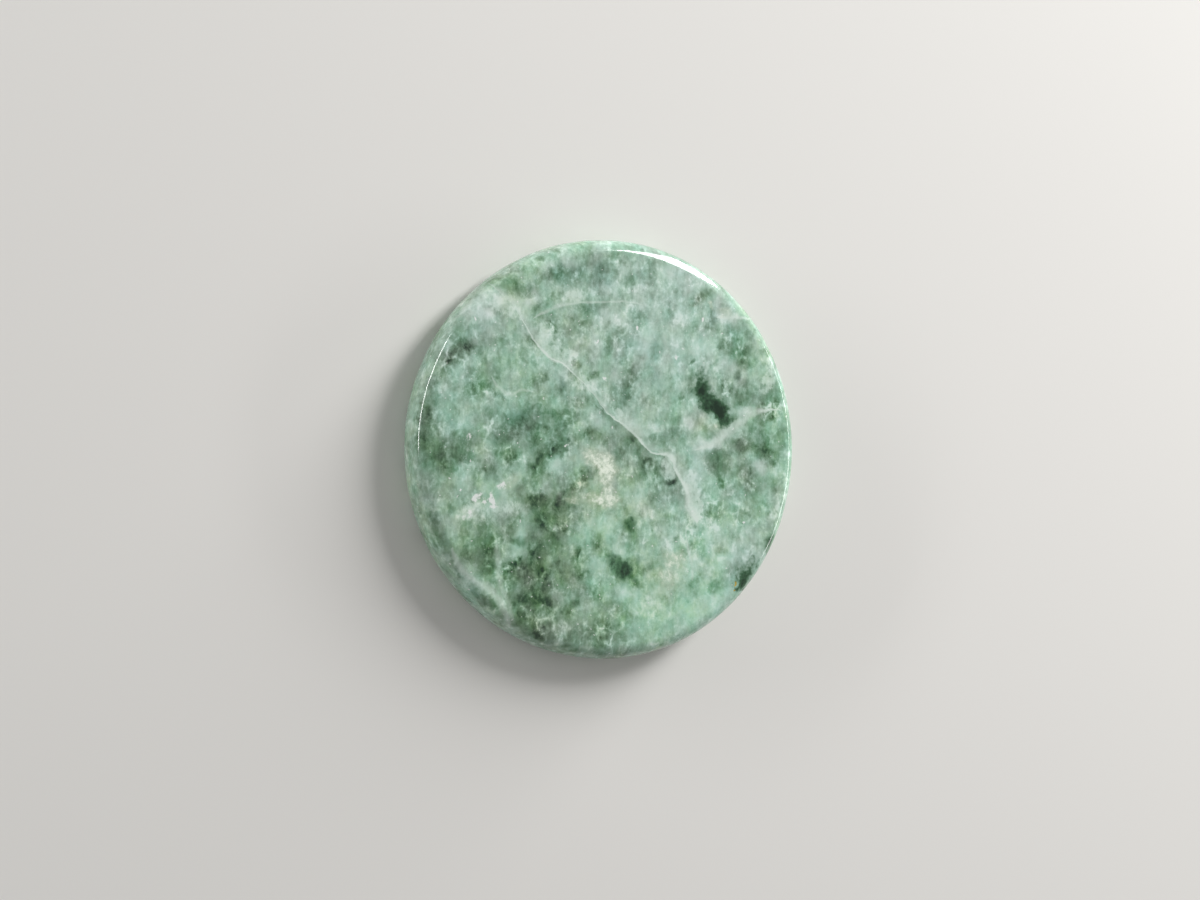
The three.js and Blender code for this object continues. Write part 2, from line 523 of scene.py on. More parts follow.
        "lower cluster, dark": (-8.7, -16.3, 0.8, 30, -9),
        "bottom": (-10.0, -21.2, 0.8, 120, -12),
        "below the vein": (1.8, 1.4, 1.0, 150, -4),
        "below the vein, left": (-0.2, 0.8, 1.0, ROUND, -3),
        "grey speckles": (-2.0, 1.6, 0.9, 0, -8),
        "under the middle": (1.5, -2.9, 1.1, 30, -4),
        "right": (20.3, 1.6, 1.7, ROUND, -3),
        "right, below": (20.5, -0.6, 1.0, 150, -9),
        "right, left": (16.9, 0.4, 1.0, 0, -8),
        "right, grey": (18.1, -3.7, 1.1, 120, -12),
        "right, high edge": (20.3, 4.9, 0.9, 90, -14),
        "right rim": (21.4, 7.0, 0.6, 90, -4),
        "top right": (11.8, 18.3, 0.7, 30, -12),
        "top right, dash": (10.7, 17.5, 0.4, 30, -13),
        "high middle": (2.9, 9.0, 1.2, 60, -7),
        "lower right, small": (14.4, -12.3, 0.8, ROUND, -12),
        "right, edge spot": (21.8, 5.0, 0.7, 90, -14),
        "beside the brown": (-6.5, -8.9, 0.9, ROUND, -8),
    },
    "bluish": {
        "great cloud, whole": (-10.6, 3.0, 2.4, 0, -3),
        "top": (-2.5, 21.3, 1.3, 120, -7),
        "top, left": (-4.4, 21.1, 0.8, 30, -7),
        "top, far left": (-7.8, 20.8, 0.8, 30, -8),
        "under the arc": (-3.2, 16.6, 0.7, 0, -9),
        "blue spot": (-6.6, 7.4, 0.5, 90, -12),
        "blue streak": (-14.4, 6.1, 0.4, 150, -11),
        "left, high": (-23.0, 7.6, 1.0, ROUND, -9),
        "middle grey": (1.4, 7.0, 1.3, 60, -7),
        "above, right": (5.3, 11.4, 0.9, 60, -4),
        "above, left": (1.2, 11.7, 0.9, 90, -7),
        "below the fleck": (7.7, 2.0, 0.8, 0, -8),
        "below the fleck, left": (5.9, 1.4, 0.6, ROUND, -7),
        "dark streak": (7.6, -3.8, 0.42, 0, -24),
        "lens": (7.0, -5.4, 1.5, 0, -7),
        "teal rim": (21.2, -11.3, 0.7, 60, -16),
        "by the branch": (13.3, 16.0, 0.6, 60, -9),
        "right, dot": (16.5, 9.0, 0.5, ROUND, -11),
        "above, high": (2.8, 15.2, 1.0, 90, -6),
    },
    "smooth mint": {
        "left": (-19.5, 5.0, 3.2, ROUND, 2),
        "left, upper": (-14.1, 10.4, 1.8, ROUND, 2),
        "left, lower": (-19.0, -2.7, 1.3, ROUND, 4),
        "column": (-12.1, -2.9, 0.9, 90, 5),
        "island": (-12.3, -11.0, 1.0, 90, 9),
        "left of the ring": (-15.1, -5.5, 2.2, ROUND, 8),
        "pool": (-1.9, -13.6, 1.3, ROUND, 6),
        "pool, upper": (-0.5, -11.2, 0.8, 30, 6),
        "below the middle": (-2.4, -9.3, 1.3, 0, 7),
        "bottom": (11.6, -19.1, 2.8, 30, 6),
        "bottom, left": (3.8, -19.4, 2.2, 0, 2),
        "lower right": (14.7, -13.3, 1.4, 0, 5),
        "upper right": (11.5, 12.9, 1.5, 0, 6),
        "right of the middle": (7.5, 9.6, 1.9, 90, 3),
        "blue window": (-7.4, -1.6, 1.2, ROUND, 6),
        "below the bend": (9.0, -6.6, 1.0, 90, 6),
        "right of the bend": (11.2, -2.6, 1.0, 90, 5),
        "low, over the fleck": (3.3, -5.1, 1.2, 0, 6),
        "low middle": (1.0, -17.2, 1.1, 0, 5),
        "upper left, small": (-12.8, 13.3, 0.8, 30, 5),
        "beside the beads": (-11.6, -9.2, 0.9, 60, 8),
        "below the middle, left": (-4.8, -10.7, 0.9, 0, 4),
        "right of the middle, high": (6.4, 7.8, 0.9, ROUND, 4),
        "low, between the spots": (6.2, -16.8, 0.9, ROUND, 4),
        "over the low fleck": (1.4, -12.3, 0.8, 0, 5),
        "left, middle": (-13.2, 4.8, 0.9, ROUND, 2),
        "under the low fleck": (1.4, -16.2, 0.9, 90, 5),
        "bottom, low": (2.0, -21.5, 1.2, 0, 4),
        "low, by the band": (-12.6, -17.4, 0.8, 90, 5),
        "above, right": (4.6, 12.4, 1.2, 90, 4),
    },
    "grey veil and glare": {
        "upper left": (-16.3, 17.3, 1.8, 30, 8),
        "above, broad": (0.2, 15.0, 2.6, 90, 4),
        "over the middle": (2.6, 2.6, 1.3, 0, 6),
        "lower left, mint": (-18.6, -7.3, 0.9, 30, 9),
        "pinkish, right": (15.1, 9.6, 1.2, ROUND, 7),
        "by the branch": (17.5, 4.7, 0.6, 0, 8),
        "right": (19.6, -2.2, 0.9, ROUND, 9),
        "bottom": (-7.0, -20.6, 1.3, 0, 5),
        "right, below the fleck": (11.5, 0.6, 0.9, 0, 6),
        "pinkish, low": (4.2, -7.5, 0.9, 150, 6),
        "lower right": (18.1, -10.9, 1.7, ROUND, 5),
        "above the vein": (-4.5, 12.4, 1.2, 0, 5),
        # painted glare: paler along the upper right rim, where the highlight on the edge spreads
        "painted glare, top right rim": (9.0, 21.0, 1.6, 150, 6),
        "painted glare, right rim, upper": (14.8, 17.2, 1.4, 120, 5),
        "painted glare, right rim, middle": (19.2, 12.2, 1.2, 120, 5),
        "below the green corner": (-11.4, 17.6, 1.2, 0, 9),
        "high middle": (3.6, 10.4, 1.0, 60, 4),
        "left of the fleck": (10.0, 3.4, 1.0, ROUND, 7),
        "over the middle, right": (5.0, 2.2, 0.9, 0, 4),
        "on the brown": (-7.0, -6.0, 0.5, 90, 8),
        "below the short diagonal": (-13.1, -3.6, 0.8, 30, 5),
        "top rim": (3.4, 21.6, 1.3, 0, 5),
        "top rim, left": (-6.6, 21.8, 1.0, 0, 4),
        "upper left, low": (-15.4, 15.5, 0.9, ROUND, 5),
        "above, by the arc": (4.2, 16.9, 1.0, 0, 4),
        "right, by the dot": (17.0, 8.8, 0.8, 60, 5),
        "at the branch": (13.4, 0.5, 0.8, 0, 5),
    },
}

# %% [markdown]
# ## From a place to a soft mask
#
# An entry becomes three nodes: the distance from the cloud's middle, a smooth step that fades
# the cloud out with it, and a sum that gathers the family. The distance is measured in the bent
# coordinates, and for a cloud with a lean they are turned and squeezed first.
#
# The Map Range nodes don't clamp. A smooth step stays between its ends by itself, and clamping
# would give each of them one more node, which Cycles works out last of all. With hundreds of
# clouds, more values would then wait than Cycles can keep, and the stone would render black.

# %% Clouds, added up
LONG = 2.0  # how many times longer than wide a cloud with a lean is
SOLID, GONE = 0.3, 1.5  # a cloud is full inside this share of its size, and gone at that one


def stretched(point, lean):
    """The point in coordinates that are turned by lean and squeezed along it, so that a long
    cloud's outline is a circle there."""
    return g.add(
        "ShaderNodeMapping",
        {"Vector": point, "Rotation": (0, 0, math.radians(lean)), "Scale": (LONG, 1, 1)},
        vector_type="TEXTURE",
    )


directions = {lean: stretched(bent, lean) for lean in range(0, 180, 30)} | {ROUND: bent}


def from_cloud(x, y, lean):
    """Distance in millimetres from the middle of a cloud, measured across its lean."""
    middle = (x, y, thickness)
    if lean is not ROUND:
        turned = Matrix.Rotation(-math.radians(lean), 3, "Z") @ Vector(middle)
        middle = (turned.x / LONG, turned.y, turned.z)
    return g.add(
        "ShaderNodeVectorMath",
        {0: directions[lean], 1: middle},
        output="Value",
        operation="DISTANCE",
    )


def fade(distance, solid, gone, strength=1.0):
    """A soft-edged mask: strength while the distance is under solid, and nothing past gone."""
    return g.add(
        "ShaderNodeMapRange",
        {"Value": distance, "From Min": solid, "From Max": gone, "To Min": strength, "To Max": 0.0},
        interpolation_type="SMOOTHSTEP",
        clamp=False,
    )


def total(start, *parts):
    """The start plus each part times its weight. Either may be a number or an output."""
    for part, weight in parts:
        inputs = {0: part, 1: weight, 2: start}
        start = g.add("ShaderNodeMath", inputs, operation="MULTIPLY_ADD")
    return start


def larger(a, b):
    """The larger of two values at each point."""
    return g.add("ShaderNodeMath", {0: a, 1: b}, operation="MAXIMUM")


def cloud_sum(clouds):
    """The changes that a family of clouds makes at a point, added up."""
    result = 0.0
    for x, y, size, lean, change in clouds.values():
        mask = fade(from_cloud(x, y, lean), SOLID * size, GONE * size, change / 100)
        result = total(result, (mask, 1.0))
    return result


placed = {family: cloud_sum(clouds) for family, clouds in CLOUDS.items()}


def weighed(trait):
    """One of the families' traits, each weighed by what its family changes here."""
    return total(0.0, *((placed[family], traits[trait]) for family, traits in FAMILIES.items()))


print(f"{sum(len(clouds) for clouds in CLOUDS.values())} clouds in {len(FAMILIES)} families")

# %% [markdown]
# ## Veins
#
# Long ago this stone cracked and healed with paler crystals. The largest vein crosses the face
# from the upper left and is crisp on its lower side only, as if a veil hung from it, and finer
# ones branch off. A vein is a sheet in the stone, so it is modelled as one: across the face it
# follows a curve, and with depth it slopes away. A Float Curve node holds the curve, and a
# second one how wide the vein is along it, so the points below are places on the face and half
# widths, all in millimetres. A vein's strength is how much of the green its chalk hides, and
# crisp is how many times sooner it ends on its sharp side than on its soft one.

# %% Healed cracks
VEINS = {
    "main, crisp line": {
        "crisp": 2.5,
        "strength": 0.9,
        "points": (
            (-12.6, 16.2, 0.0), (-11.4, 14.6, 0.15), (-10.6, 13.3, 0.3), (-9.9, 12.2, 0.4),
            (-9.0, 11.3, 0.45), (-7.9, 10.6, 0.4), (-6.6, 9.9, 0.35), (-5.4, 9.0, 0.25),
            (-4.2, 8.0, 0.15), (-2.6, 6.4, 0.05), (-1.2, 4.7, 0.1), (-0.2, 3.8, 0.3),
            (0.9, 3.1, 0.35), (2.2, 2.1, 0.5), (3.3, 1.2, 0.5), (4.3, 0.2, 0.3),
            (5.4, -0.4, 0.3), (6.6, -0.6, 0.8), (7.5, -1.0, 1.1), (8.0, -2.2, 0.7),
            (8.7, -3.5, 0.6), (9.5, -4.6, 1.5), (9.8, -6.0, 2.0), (10.1, -7.4, 1.7),
            (11.2, -8.8, 0.0),
        ),
    },
    "main, veil": {
        "crisp": 12.0,
        "strength": 0.38,
        "points": (
            (-16.0, 19.0, 0.0), (-13.2, 16.8, 1.2), (-10.6, 13.3, 2.0), (-9.0, 11.3, 2.4),
            (-6.6, 9.9, 2.0), (-5.4, 9.0, 1.4), (-2.6, 6.4, 0.6), (-0.2, 3.8, 0.8),
            (0.9, 3.1, 1.4), (2.2, 2.1, 2.0), (4.3, 0.2, 1.2), (6.6, -0.6, 0.8), (8.0, -2.2, 1.2),
            (9.5, -4.6, 2.2), (10.1, -7.4, 1.8), (11.2, -8.8, 0.0),
        ),
    },
    "branch": {
        "crisp": 1.3,
        "strength": 0.62,
        "points": (
            (10.6, 0.0, 0.0), (12.5, 0.4, 0.7), (14.0, 1.3, 1.1), (15.6, 2.4, 1.3),
            (17.2, 3.5, 1.0), (18.8, 4.5, 0.8), (20.5, 4.8, 0.4), (23.0, 4.6, 0.0),
        ),
    },
    "arc": {
        "crisp": 1.5,
        "strength": 0.45,
        "points": (
            (-10.3, 15.2, 0.0), (-7.6, 16.5, 0.5), (-5.0, 17.2, 0.3), (-2.3, 17.4, 0.25),
            (0.8, 17.5, 0.25), (2.6, 17.3, 0.25), (4.0, 17.0, 0.0),
        ),
    },
    "short line, right": {
        "crisp": 1.0,
        "strength": 0.6,
        "points": ((13.7, 15.9, 0.0), (15.1, 15.9, 0.3), (16.6, 16.0, 0.35), (18.5, 15.7, 0.0)),
    },
    "hanging thread": {
        "crisp": 1.0,
        "strength": 0.4,
        "points": ((10.3, -15.8, 0.0), (10.4, -14.1, 0.4), (9.9, -12.1, 0.3), (9.6, -9.3, 0.0)),
    },
    "lower left band": {
        "crisp": 1.0,
        "strength": 0.42,
        "points": (
            (-20.6, -11.5, 0.0), (-19.7, -13.5, 0.7), (-18.3, -15.1, 0.8), (-16.3, -16.1, 0.9),
            (-14.9, -17.4, 0.9), (-14.0, -19.0, 0.8), (-13.4, -21.2, 0.0),
        ),
    },
    "lower left, second": {
        "crisp": 1.0,
        "strength": 0.24,
        "points": (
            (-15.0, -11.2, 0.0), (-14.8, -13.7, 0.7), (-14.6, -15.9, 0.6), (-13.7, -17.9, 0.6),
            (-13.0, -20.0, 0.0),
        ),
    },
    "squiggle": {
        "crisp": 1.0,
        "strength": 0.3,
        "points": (
            (-15.7, 8.4, 0.0), (-14.7, 7.1, 0.4), (-13.5, 6.3, 0.45), (-12.0, 6.9, 0.3),
            (-10.2, 6.6, 0.0),
        ),
    },
}
SHADE = {  # the darker stone that the main vein is set off against, below it
    "crisp": 12.0,
    "strength": 0.10,
    "points": (
        (-2.6, 5.4, 0.0), (-0.2, 3.7, 1.4), (0.9, 3.0, 2.6), (2.2, 2.0, 3.4), (3.3, 1.1, 3.4),
        (4.3, 0.1, 3.0), (5.4, -0.5, 2.0), (6.6, -0.8, 0.6), (8.0, -2.4, 0.3), (8.7, -3.6, 1.0),
        (9.5, -4.7, 2.4), (9.8, -6.1, 2.4), (10.1, -7.4, 1.4), (11.2, -8.8, 0.0),
    ),
}

# %% [markdown]
# ## A sheet from a curve
#
# Each vein is measured from the straight line between its ends. How far along that line a point
# of the stone lies gives, by the two curves, where the vein is and how wide it is there, and
# how far across the line the point lies then tells whether it is in the vein.

# %% Masks for the veins
SLOPE = 0.45  # how far a vein moves sideways for each millimetre of depth
LEAST_SPAN = 1.0  # mm, for the curve of a vein that is nearly straight
HAIR = 0.001  # mm, so that a vein never has no width at all


def height_along(share, heights):
    """The height of a smooth curve at a share of the way. The curve goes through points at
    shares and heights that both run from 0 to 1."""
    output = g.add("ShaderNodeFloatCurve", {"Value": share})
    curve = output.node.mapping.curves[0]
    for place, height in heights[1:-1]:
        curve.points.new(place, height)
    for point, (place, height) in zip(curve.points, heights):
        point.location = (place, height)
    output.node.mapping.update()
    return output


def vein(points, crisp, strength, side=1):
    """A mask along a curve. The point's distance to the curve is measured straight across the
    line from the curve's first point to its last, and counts crisp times over on the other
    side. Looking along the line, side is 1 for the left and -1 for the right."""
    points = np.array(points)
    middle, width = points[:, :2], points[:, 2]
    run = middle[-1] - middle[0]
    run /= np.linalg.norm(run)
    leftwards = np.array([-run[1], run[0]])
    along, across = middle @ run, middle @ leftwards
    low, span = across.min(), max(np.ptp(across), LEAST_SPAN)
    share = (along - along[0]) / (along[-1] - along[0])

    here_along = g.add(
        "ShaderNodeVectorMath", {0: wavering, 1: (*run, 0.0)}, "Value", operation="DOT_PRODUCT"
    )
    here_across = g.add(
        "ShaderNodeVectorMath",
        {0: wavering, 1: (*leftwards, SLOPE)},
        "Value",
        operation="DOT_PRODUCT",
    )
    here_share = g.add(
        "ShaderNodeMapRange", {0: here_along, 1: along[0], 2: along[-1], 3: 0.0, 4: 1.0}
    )
    curve = height_along(here_share, list(zip(share, (across - low) / span)))
    widths = height_along(here_share, list(zip(share, width / width.max())))
    offset = total(-low - SLOPE * thickness, (here_across, 1.0), (curve, -span))
    left, right = (1, -crisp) if side == 1 else (crisp, -1)
    offset = larger(total(0.0, (offset, left)), total(0.0, (offset, right)))
    return fade(offset, 0.0, total(HAIR, (widths, width.max())), strength)


chalk = 0.0
for line in VEINS.values():
    chalk = larger(vein(**line), chalk)
shade = vein(**SHADE, side=-1)
print(f"{len(VEINS)} veins")

# %% [markdown]
# ## Spots
#
# Some places in the stone have clearer edges than its clouds, and some aren't a shade of its
# green at all. They are entered like the clouds, in six tables. In a patch the green is a step
# darker. Shards are paler, chalky stone, mostly beside the veins. Flecks are knots of iron-rich
# pyroxene, almost black. Cream is where the felt opens into pale grains, most of all around the
# middle. Sparks are coarser white crystals, in a nest at the left and alone; the nest is partly
# painted glints, and three lone dots are painted glints, white where a crystal would flash in the
# light. Rust is a stain of iron. The last number is the height of the spot before it is cut, in
# hundredths: the higher it is, the further the spot spreads.

# %% Spots and where they are
PATCHES = {
    "low left, top": (-16.6, -9.4, 1.2, ROUND, 85),
    "low left, middle": (-17.2, -11.8, 1.8, ROUND, 100),
    "low left, foot": (-16.2, -13.4, 1.2, ROUND, 110),
    "lower left rim": (-16.6, -17.9, 1.2, 150, 70),
    "great cloud, left": (-12.9, 2.4, 1.6, 30, 75),
    "great cloud, middle": (-9.6, 4.6, 1.0, 0, 65),
    "great cloud, right": (-6.4, 3.9, 1.0, 0, 70),
    "great cloud, heart": (-10.6, 1.6, 1.0, 90, 80),
    "great cloud, foot": (-8.6, -0.3, 1.0, 30, 75),
    "right of the vein": (13.9, -1.6, 1.7, ROUND, 120),
    "right of the vein, foot": (14.3, -4.0, 0.6, 90, 70),
    "left edge, upper": (-20.0, 0.4, 1.6, 30, 90),
    "left edge, lower": (-20.9, -1.6, 1.0, 90, 80),
    "diagonal": (-19.9, 10.9, 1.1, 60, 85),
    "upper left": (-13.8, 19.1, 1.1, 30, 65),
    "brown core": (-9.0, -6.6, 1.6, 0, 75),
    "brown, low": (-9.6, -12.2, 1.4, 60, 70),
    "brown, foot": (-10.6, -17.2, 1.4, 0, 70),
    "spot": (4.4, -2.2, 0.9, 60, 75),
    "right": (20.3, 1.4, 1.4, ROUND, 60),
    "right, left": (17.4, 0.4, 1.0, 0, 75),
    "left edge, inner": (-18.6, -1.0, 0.8, 0, 70),
    "upper left, right": (-11.3, 18.4, 1.0, 0, 65),
    "diagonal, top": (-18.4, 12.0, 0.8, 0, 50),
    "low left, wing": (-18.7, -12.2, 1.2, ROUND, 80),
}
SHARDS = {
    "upper left": (-15.3, 17.3, 1.2, 150, 60),
    "upper left, inner": (-13.6, 16.3, 1.1, 150, 60),
    "above the vein": (-9.2, 13.4, 1.0, 120, 80),
    "above the vein, right": (-7.4, 11.9, 1.2, 150, 105),
    "above the vein, tip": (-5.4, 11.5, 0.6, 0, 65),
    "in the vein": (-4.2, 7.9, 1.1, 150, 110),
    "over the arc": (-4.9, 17.9, 0.8, 0, 110),
    "bend": (7.3, -1.5, 0.9, 90, 160),
    "below the bend": (10.4, -4.8, 1.1, 90, 150),
    "below the bend, foot": (10.8, -7.2, 1.0, 90, 130),
    "low tip": (12.6, -9.0, 0.6, 150, 80),
    "right rim": (20.8, 8.3, 0.9, 60, 130),
    "right rim, high": (21.5, 10.6, 0.5, 90, 80),
    "right rim, low": (21.8, -7.8, 0.9, 60, 80),
    "lower left": (-13.2, -7.2, 1.1, 0, 75),
    "bottom, right": (-7.0, -21.0, 0.9, 30, 50),
    "right of the vein, streak": (15.8, -5.2, 0.35, 30, 120),
    "white streak, right": (13.6, 9.5, 0.5, 60, 80),
    "pale, centre": (0.5, 4.6, 0.6, 150, 95),
    "lower middle, pink": (4.4, -7.7, 0.9, 150, 60),
    "lower middle, line": (4.3, -11.0, 0.4, 0, 90),
    "nest's halo": (-17.4, -7.3, 1.3, 150, 65),
}
FLECKS = {
    "great fleck, top": (11.6, 8.2, 0.9, 90, 75),
    "great fleck, shoulder": (12.0, 7.0, 1.2, ROUND, 80),
    "great fleck, brow": (10.7, 6.8, 0.6, 0, 75),
    "great fleck, waist": (12.5, 5.7, 0.9, 150, 65),
    "great fleck, body": (13.2, 5.0, 1.0, 0, 75),
    "great fleck, heel": (14.2, 5.3, 1.0, 120, 80),
    "great fleck, heel's foot": (14.5, 4.1, 0.95, ROUND, 70),
    "great fleck, tail": (15.5, 3.2, 0.7, 30, 85),
    "low fleck": (1.1, -14.1, 1.0, 150, 80),
    "low fleck, lobe": (1.7, -14.5, 0.9, 60, 65),
    "low fleck, tail": (3.3, -15.6, 0.6, 150, 60),
    "lower spot": (2.4, -9.0, 0.6, 60, 60),
    "thin dash": (-6.2, 1.0, 0.3, 30, 75),
    "rim fleck": (18.1, -15.1, 1.1, 60, 62),
    "rim fleck, low": (17.3, -16.4, 0.8, 60, 55),
    "rim fleck, inner": (16.7, -15.3, 1.0, 90, 48),
}
CREAM = {
    "middle": (-1.8, -1.3, 1.4, 150, 100),
    "middle, waist": (-0.9, -3.2, 1.0, 90, 85),
    "middle, foot": (-0.9, -5.8, 1.2, 0, 100),
    "left of the foot": (-4.3, -5.6, 0.9, 0, 45),
    "far left": (-5.5, -6.1, 0.4, 0, 45),
    "left": (-5.2, -1.2, 0.5, ROUND, 45),
    "low right": (7.6, -13.0, 1.0, 0, 55),
    "low right, streaks": (7.6, -15.2, 1.5, 60, 60),
    "low right, pink": (5.6, -14.8, 0.8, 0, 35),
    "below the great fleck": (12.7, 3.0, 1.0, 0, 38),
    "top right": (14.9, 16.5, 0.6, 0, 55),
    "top right, line": (13.1, 17.3, 0.4, 120, 60),
    "middle, gap": (-2.3, -3.7, 0.7, ROUND, 55),
    "below the great fleck, right": (13.8, 2.4, 0.8, 30, 30),
}
SPARKS_AND_GLINTS = {
    # the nest: white of its own crystals, and partly painted glints
    "nest": (-17.2, -5.5, 0.5, 0, 110),
    "nest, right": (-14.2, -4.3, 0.55, 30, 105),
    "nest, tail": (-15.4, -6.7, 0.4, 0, 85),
    "nest, lower left": (-18.5, -7.6, 0.6, 30, 70),
    "pink crumb": (-18.4, 1.4, 0.4, 60, 110),
    "white dash": (-19.5, -4.6, 0.13, 120, 170),
    "white thread": (-2.0, 12.8, 0.14, 90, 120),
    "white thread, left": (-17.9, 14.9, 0.16, 90, 110),
    # painted glints: three white dots where single crystals flash in the light
    "painted glint, top right": (11.8, 15.9, 0.25, ROUND, 130),
    "painted glint, lower right": (17.5, -8.8, 0.25, ROUND, 150),
    "painted glint, middle left": (-6.4, 0.5, 0.16, ROUND, 200),
    "dot by the vein": (-0.8, 8.3, 0.3, ROUND, 100),
    "pink streak": (8.2, 10.8, 0.25, 90, 80),
    "nest, middle": (-16.3, -6.1, 0.45, 30, 110),
    "nest, right end": (-15.6, -5.9, 0.4, 90, 100),
    "nest, left end": (-18.0, -6.0, 0.35, 60, 90),
    "thread, high": (3.1, 14.3, 0.15, 90, 120),
}
RUST = {
    "upper": (16.2, -16.1, 0.22, ROUND, 120),
    "lower": (16.4, -16.9, 0.22, ROUND, 120),
}
print(f"{sum(map(len, (PATCHES, SHARDS, FLECKS, CREAM, SPARKS_AND_GLINTS, RUST)))} places")

# %% [markdown]
# ## The felt between the clouds
#
# Between its patches the stone still varies at every size: slow swells, mottles of a few
# millimetres, and grain at half a millimetre where crystals of two greens lie side by side.
# Knots and flocks are noise with its lower part cut off, which leaves separate dark knots and
# separate pale flocks. Fibres are fine noise drawn out along Y.
#
# Wisps are thin pale threads. A Voronoi pattern gives them as the borders between its cells,
# and the mottle breaks them up, so that no whole net is left. They could be drawn one by one
# like the veins, but no one would miss a thread of these, only their number.

# %% Noise of many sizes
FELT_PLACE = (37, 53, 71)  # mm, so that the felt doesn't repeat the noise that bends the clouds
FELT_SQUEEZE = (1, 0.75, 1)
FIBRE_SQUEEZE = (1, 0.25, 1)
NET_CELL = 1.9  # mm
THREAD = 0.13  # the half width of a thread, as a share of a cell


def noise(point, size, detail=2.0, roughness=0.55):
    """Noise of that size in millimetres, from about -0.5 to 0.5."""
    value = g.add(
        "ShaderNodeTexNoise",
        {"Vector": point, "Scale": 1 / size, "Detail": detail, "Roughness": roughness},
    )
    return total(-0.5, (value, 1.0))


def cut(value, low, high):
    """0 below low, 1 above high, and a smooth step between them."""
    return g.add(
        "ShaderNodeMapRange",
        {"Value": value, "From Min": low, "From Max": high},
        interpolation_type="SMOOTHSTEP",
        clamp=False,
    )


felt = g.add("ShaderNodeMapping", {"Vector": stone, "Location": FELT_PLACE, "Scale": FELT_SQUEEZE})
fibre_space = g.add("ShaderNodeMapping", {"Vector": stone, "Scale": FIBRE_SQUEEZE})

swell = noise(felt, 8.0, detail=1.0)
mottle = noise(felt, 2.2, detail=5.0, roughness=0.68)
grain = noise(felt, 0.5, detail=2.0, roughness=0.6)
fibres = noise(fibre_space, 0.45, detail=1.0)
knots = larger(total(-0.03, (noise(felt, 1.4, detail=3.0), 1.0)), 0.0)
flocks = larger(total(-0.05, (noise(felt, 1.1, detail=3.0), 1.0)), 0.0)
net = g.add(
    "ShaderNodeTexVoronoi",
    {"Vector": bent, "Scale": 1 / NET_CELL},
    output="Distance",
    feature="DISTANCE_TO_EDGE",
)
wisps = total(0.0, (fade(net, 0.0, THREAD), cut(mottle, -0.12, 0.12)))
print(f"{len(g.tree.nodes)} nodes so far")

# %% [markdown]
# ## Ragged edges
#
# A spot is a sum of clouds that is cut between two heights, as a contour line cuts a hill. The
# sum is first multiplied by mottle and grain, so the contour wanders in and out at both
# sizes, and ovals that stand close melt into one spot.

# %% Spots with ragged edges
roughening = larger(total(1.0, (mottle, 2.5), (grain, 3.0)), 0.0)


def spots(places, low, high):
    """A mask of spots: a sum of clouds, times the roughening, cut between low and high."""
    return cut(total(0.0, (cloud_sum(places), roughening)), low, high)


patch = spots(PATCHES, 0.25, 0.7)
shards = spots(SHARDS, 0.15, 1.1)
print(f"{len(PATCHES)} places in patches and {len(SHARDS)} in shards")

# %% [markdown]
# ## Adding up the lightness
#
# Everything that darkens or lightens the stone is one sum of weights. The clouds come first.
# A noise of their own makes them uneven, and paler islands with clear shores lie among them.
# The fine felt is stronger where the families make the stone speckled. The wisps show where
# slow noise lets them, and more where the clouds are dark. Last, the shade below the main
# vein and the patches darken the stone, and the shards lighten it.

# %% One sum for the lightness
MEAN_LIGHTNESS = 0.70
LEAST_SPECKLE = 0.3  # of the felt is left in the smoothest places

unevenness = total(1.0, (noise(bent, 1.5, detail=3.0), 1.8))
islands = cut(noise(bent, 2.6, detail=4.0, roughness=0.62), -0.05, 0.05)
clouds = total(0.0, (weighed("lightness"), unevenness), (islands, 0.05))

fine = total(0.005, (mottle, 0.28), (grain, 0.22), (knots, -0.8), (flocks, 0.6), (fibres, 0.11))
speckle = larger(total(1.0, (weighed("speckle"), 1.0)), LEAST_SPECKLE)

patchiness = noise(felt, 5.0, detail=0.0)
darkened = larger(total(0.0, (clouds, -1.0)), 0.0)
wisp_strength = total(larger(total(0.02, (patchiness, 0.35)), 0.0), (darkened, 0.6))

lightness = total(
    MEAN_LIGHTNESS,
    (clouds, 1.0),
    (fine, speckle),
    (wisps, wisp_strength),
    (swell, 0.10),
    (shade, -1.0),
    (patch, -0.15),
    (shards, 0.06),
)
print(f"{len(g.tree.nodes)} nodes up to the lightness, which is {MEAN_LIGHTNESS} in plain stone")

# %% [markdown]
# ## From lightness to colour
#
# The colour ramp's positions are lightness on the usual scale, as shares of white, so a number
# that says 47 hundredths in the sums above meets the green that has that lightness. Warm places
# are then tinted towards olive and cool ones towards mint, and richness moves the green away
# from grey.

# %% The greens
GREENS = {
    0.22: "#1e3a2a",
    0.34: "#38563e",
    0.45: "#57755b",
    0.54: "#6b8a71",
    0.61: "#7d9b85",
    0.67: "#8daa95",
    0.725: "#9cb9a6",
    0.775: "#aac6b4",
    0.84: "#bcd5c6",
    0.92: "#d3e5da",
}
WARM_TINT, COOL_TINT = "#f6f4dc", "#e4f3f6"
USUAL_RICHNESS = 1.05


def coat(share, under, over, blend="MIX"):
    """The colour under with the colour over laid on it by a share from 0 to 1, in one of
    Blender's blend modes. A colour that is written as hex is turned linear."""
    under, over = (linear(c) if isinstance(c, str) else c for c in (under, over))
    return g.add(
        "ShaderNodeMix",
        {0: share, 6: under, 7: over},
        output=2,
        data_type="RGBA",
        blend_type=blend,
    )


colour = g.add("ShaderNodeValToRGB", {0: lightness})
stops = colour.node.color_ramp.elements
while len(stops) < len(GREENS):
    stops.new(0.5)
for stop, (position, green) in zip(stops, GREENS.items()):
    stop.position = position
    stop.color = linear(green)

hue_noise = noise(felt, 3.0, detail=4.0, roughness=0.65)
warmth = total(weighed("warmth"), (hue_noise, 2.8))
coolness = total(0.0, (warmth, -1.0))
colour = coat(g.add("ShaderNodeClamp", {0: warmth}), colour, WARM_TINT, "MULTIPLY")
colour = coat(g.add("ShaderNodeClamp", {0: coolness}), colour, COOL_TINT, "MULTIPLY")

